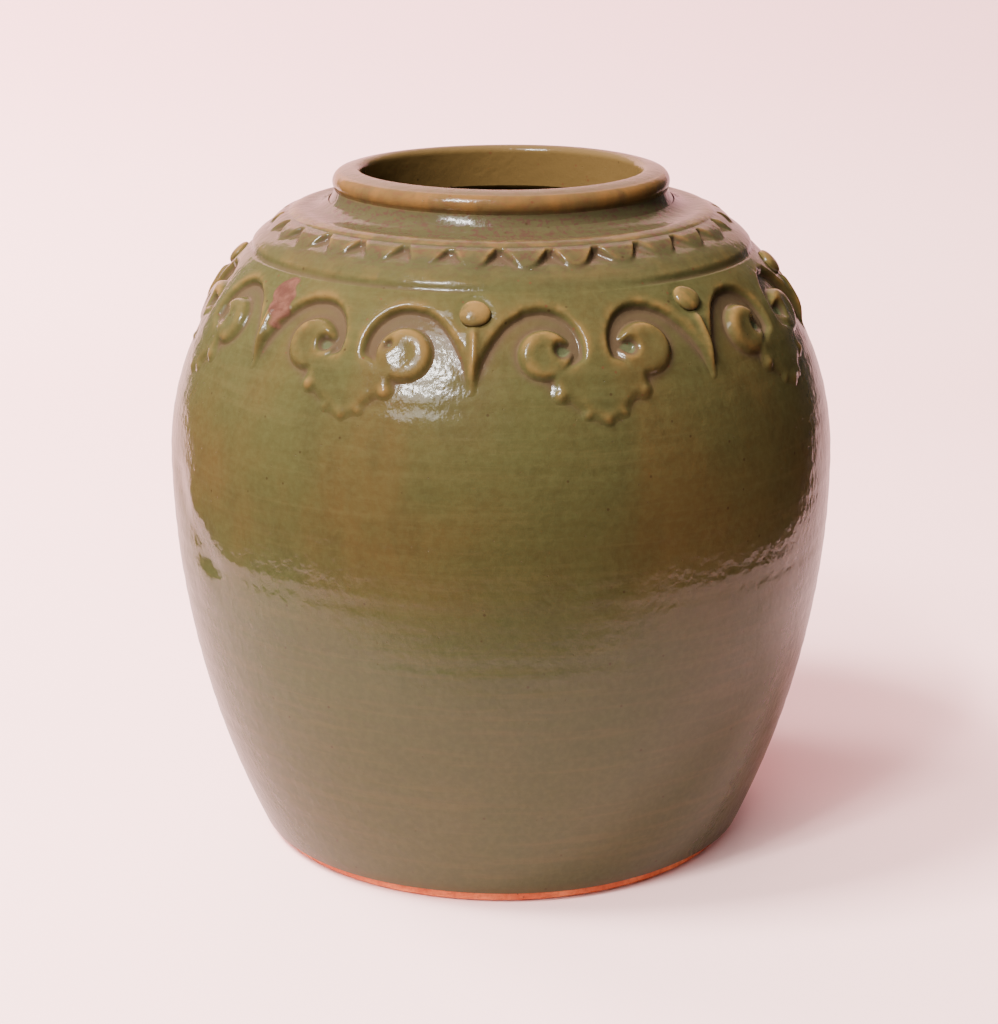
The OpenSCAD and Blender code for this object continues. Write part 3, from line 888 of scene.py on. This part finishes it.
def bead(k):
    """A pressed pad of clay on a pendant's head, or the low scar of one."""
    j = hand(200 + k)
    lost = k == LOST_BEAD
    r0, up = (3.2 + 0.12 * j[0], 1.4 + 0.15 * j[1]) if not lost else (3.0, 0.12)
    az0, th0 = PATTERN + k * STEP_A + 0.25 * j[2] + 0.1, BEAD_TH + 0.35 * j[3]
    rings, n = 16, 64
    ang = np.linspace(0, 2 * math.pi, n, endpoint=False)
    wob = 1 + 0.035 * np.sin(2 * ang + j[4] * 3) + 0.03 * np.sin(3 * ang + j[5] * 3)
    t, a = math.radians(th0), math.radians(az0)
    rr = SH_C + (SH_R + SHEET) * math.cos(t)
    centre = np.array([rr * math.sin(a), -rr * math.cos(a), BELLY_Z + (SH_R + SHEET) * math.sin(t)])
    out = np.array([math.cos(t) * math.sin(a), -math.cos(t) * math.cos(a), math.sin(t)])
    across = np.array([math.cos(a), math.sin(a), 0.0])
    upward = np.cross(out, across)
    # rings from the crown to the rim of the pad, and one sunk in the clay
    part = np.linspace(0, math.pi / 2, rings)
    rows = [(r0 * math.sin(f) ** 0.92, up * max(math.cos(f), 0.0) ** 0.75 - 0.02) for f in part]
    rows.append((r0, -0.5))
    pts = [centre + out * rows[0][1]]
    for rad, h in rows[1:]:
        sag = rad * rad / (2 * SH_R) * 0.9
        for q, w in zip(ang, wob):
            pts.append(centre + rad * w * (across * math.cos(q) + upward * math.sin(q)) + out * (h - sag))
    pts.append(centre - out * 0.5)
    pts = np.array(pts)
    m = len(rows) - 1
    faces = [[0, 1 + q, 1 + (q + 1) % n] for q in range(n)]
    for i in range(m - 1):
        for q in range(n):
            a0, a1 = 1 + i * n + q, 1 + i * n + (q + 1) % n
            faces.append([a0, a0 + n, a1 + n, a1])
    last = 1 + (m - 1) * n
    faces += [[len(pts) - 1, last + (q + 1) % n, last + q] for q in range(n)]
    ring = np.zeros(len(pts), int)
    ring[last:last + n] = 1
    thin = np.full(len(pts), 0.95)
    thin[1 + (m - 3) * n:] = 0.3
    unglazed = np.full(len(pts), 1.0 if lost else 0.0)
    return build(f"bead_{k + 1}_pad", [f"bead_{k + 1}"], pts, faces, ring, thin, np.zeros(len(pts)), unglazed,
                 GLAZE)


for k in range(PETALS):
    bead(k)


# ---------------------------------------------------------------- table, backdrop, lights and camera
def paper(name, col, shade, high):
    """Plain paper with painted shade towards its front edge, and a darker, pinker painted shade where it
    hangs.
    """
    mat, nt = nodes_for(name)
    g = Graph(nt)
    pos = g.add("ShaderNodeTexCoord").outputs["Object"]
    duller = tuple(v * 0.94 for v in col[:3]) + (1.0,)
    c = g.mix(g.ramp(g.noise(pos, 6.0, 3.0), 0.3, 0.7, 0.0, 0.3), col, duller)
    sep = g.add("ShaderNodeSeparateXYZ")
    g.put(sep.inputs[0], pos)
    # painted shade: the table's front darkened as though it lay in shadow
    c = g.mix(g.ramp(sep.outputs[1], -0.125, -0.2), c, shade)
    # painted shade: darker and pinker up the backdrop, where less light falls on the same paper
    c = g.mix(g.ramp(sep.outputs[2], 0.0, 0.14), c, high)
    b = g.add("ShaderNodeBsdfPrincipled")
    g.put(b.inputs["Base Color"], c)
    b.inputs["Roughness"].default_value = 0.6
    b.inputs["Specular IOR Level"].default_value = 0.2
    g.put(g.add("ShaderNodeOutputMaterial").inputs[0], b.outputs[0])
    return mat


# second colour: the painted shade at the table's front; third: the darker, pinker painted shade up the
# backdrop
PALE = paper("pale_paper", rgb(250, 204, 201), rgb(138, 116, 98), rgb(238, 182, 184))


def stage_mesh(name, pts, faces, mat):
    me = bpy.data.meshes.new(name)
    me.from_pydata(pts, [], faces)
    me.polygons.foreach_set("use_smooth", [True] * len(me.polygons))
    me.materials.append(mat)
    ob = bpy.data.objects.new(name, me)
    bpy.context.scene.collection.objects.link(ob)
    return ob


def sweep():
    """A table top with a round front that curves up, behind, into a backdrop."""
    front, back, bend, top = 0.265, 0.75, 0.3, 1.3
    rounded = -front * np.cos(np.linspace(0.12, math.pi / 2, 18))
    y = np.concatenate([rounded, np.linspace(0.03, back - bend, 9)])
    half = np.where(y < 0, np.sqrt(np.maximum(front ** 2 - y ** 2, 0)), front)
    half = half + 0.2 * smooth(0.12, back - bend, y)
    prof = [(half[0], y[0], -0.004)] + [(h, v, -0.0002) for h, v in zip(half, y)]
    prof += [(half[-1], back - bend + bend * math.sin(t), bend - bend * math.cos(t))
             for t in np.linspace(0.1, math.pi / 2, 16)]
    prof += [(prof[-1][0], back, top)]
    pts = [(s * h, v, z) for h, v, z in prof for s in (-1, 1)]
    faces = [(2 * i, 2 * i + 1, 2 * i + 3, 2 * i + 2) for i in range(len(prof) - 1)]
    return stage_mesh("table_sweep", pts, faces, PALE)


sweep()


def area(name, at, aim, size, power, colour, mirrored=True):
    """A soft light. Only the window and its panes are mirrored in the glaze."""
    li = bpy.data.lights.new(name, "AREA")
    li.shape = "RECTANGLE"
    li.size, li.size_y = size
    li.energy = power
    li.color = colour
    ob = bpy.data.objects.new(name, li)
    ob.location = at
    ob.rotation_euler = (Vector(aim) - Vector(at)).to_track_quat("-Z", "Y").to_euler()
    ob.visible_glossy = mirrored
    bpy.context.scene.collection.objects.link(ob)
    return ob


MID = (0.0, 0.0, 0.09)
WINDOW = (-0.72, -1.12, 1.5)
area("window", WINDOW, MID, (0.6, 1.2), 28, (1.0, 0.97, 0.95))
for n, (dx, dz) in enumerate(((-0.15, -0.14), (0.14, -0.16), (0.0, 0.14))):
    pane = (WINDOW[0] + dx, WINDOW[1] + 0.02, WINDOW[2] + dz)
    area(f"pane_{n}", pane, MID, (0.13, 0.16), 17, (1.0, 0.98, 0.96))
area("key", (-0.3, -1.1, 0.95), MID, (0.7, 0.7), 14, (1.0, 0.97, 0.95), False)
area("overhead", (-0.56, -0.24, 1.08), (0, 0.04, 0), (0.3, 0.3), 46, (1.0, 0.97, 0.96), False)
area("backdrop", (-0.75, 0.42, 0.7), (-0.5, 0.7, 0.1), (0.5, 0.3), 20, (1.0, 0.8, 0.81), False)
area("left_back", (-0.95, 0.55, 0.6), MID, (0.5, 0.5), 8, (1.0, 0.95, 0.94), False)
area("right_back", (0.98, 0.5, 0.55), MID, (0.6, 0.7), 2.5, (1.0, 0.90, 0.88), False)


def room():
    """Soft surroundings: a pale ceiling, paler to the left and behind, and a dim room in front."""
    world = bpy.data.worlds.new("room")
    world.use_nodes = True
    nt = world.node_tree
    g = Graph(nt)
    sep = g.add("ShaderNodeSeparateXYZ")
    g.put(sep.inputs[0], g.add("ShaderNodeTexCoord").outputs["Generated"])
    x, y, z = sep.outputs
    up = g.ramp(z, 0.3, 1.0, 0.0, 0.2)
    left = g.math("MULTIPLY", g.ramp(x, 0.35, -0.45, 0.0, 0.22), g.ramp(z, -0.1, 0.3))
    back = g.ramp(y, 0.6, 0.95, 0.0, 0.4)
    level = g.math("ADD", g.math("ADD", g.math("ADD", up, left), back), 0.04)
    bg = nt.nodes["Background"]
    bg.inputs[0].default_value = (1.0, 0.86, 0.82, 1)
    g.put(bg.inputs[1], level)
    bpy.context.scene.world = world


room()

LOOKS_DOWN = 16.63  # degrees
cam_data = bpy.data.cameras.new("camera")
cam_data.sensor_width = 36.0
cam_data.lens = 87.3
cam_data.clip_start = 0.01
camera = bpy.data.objects.new("camera", cam_data)
camera.location = (-0.00056, -0.576, 0.248)
camera.rotation_euler = (math.radians(90 - LOOKS_DOWN), 0.0, 0.0)
bpy.context.scene.collection.objects.link(camera)
bpy.context.scene.camera = camera
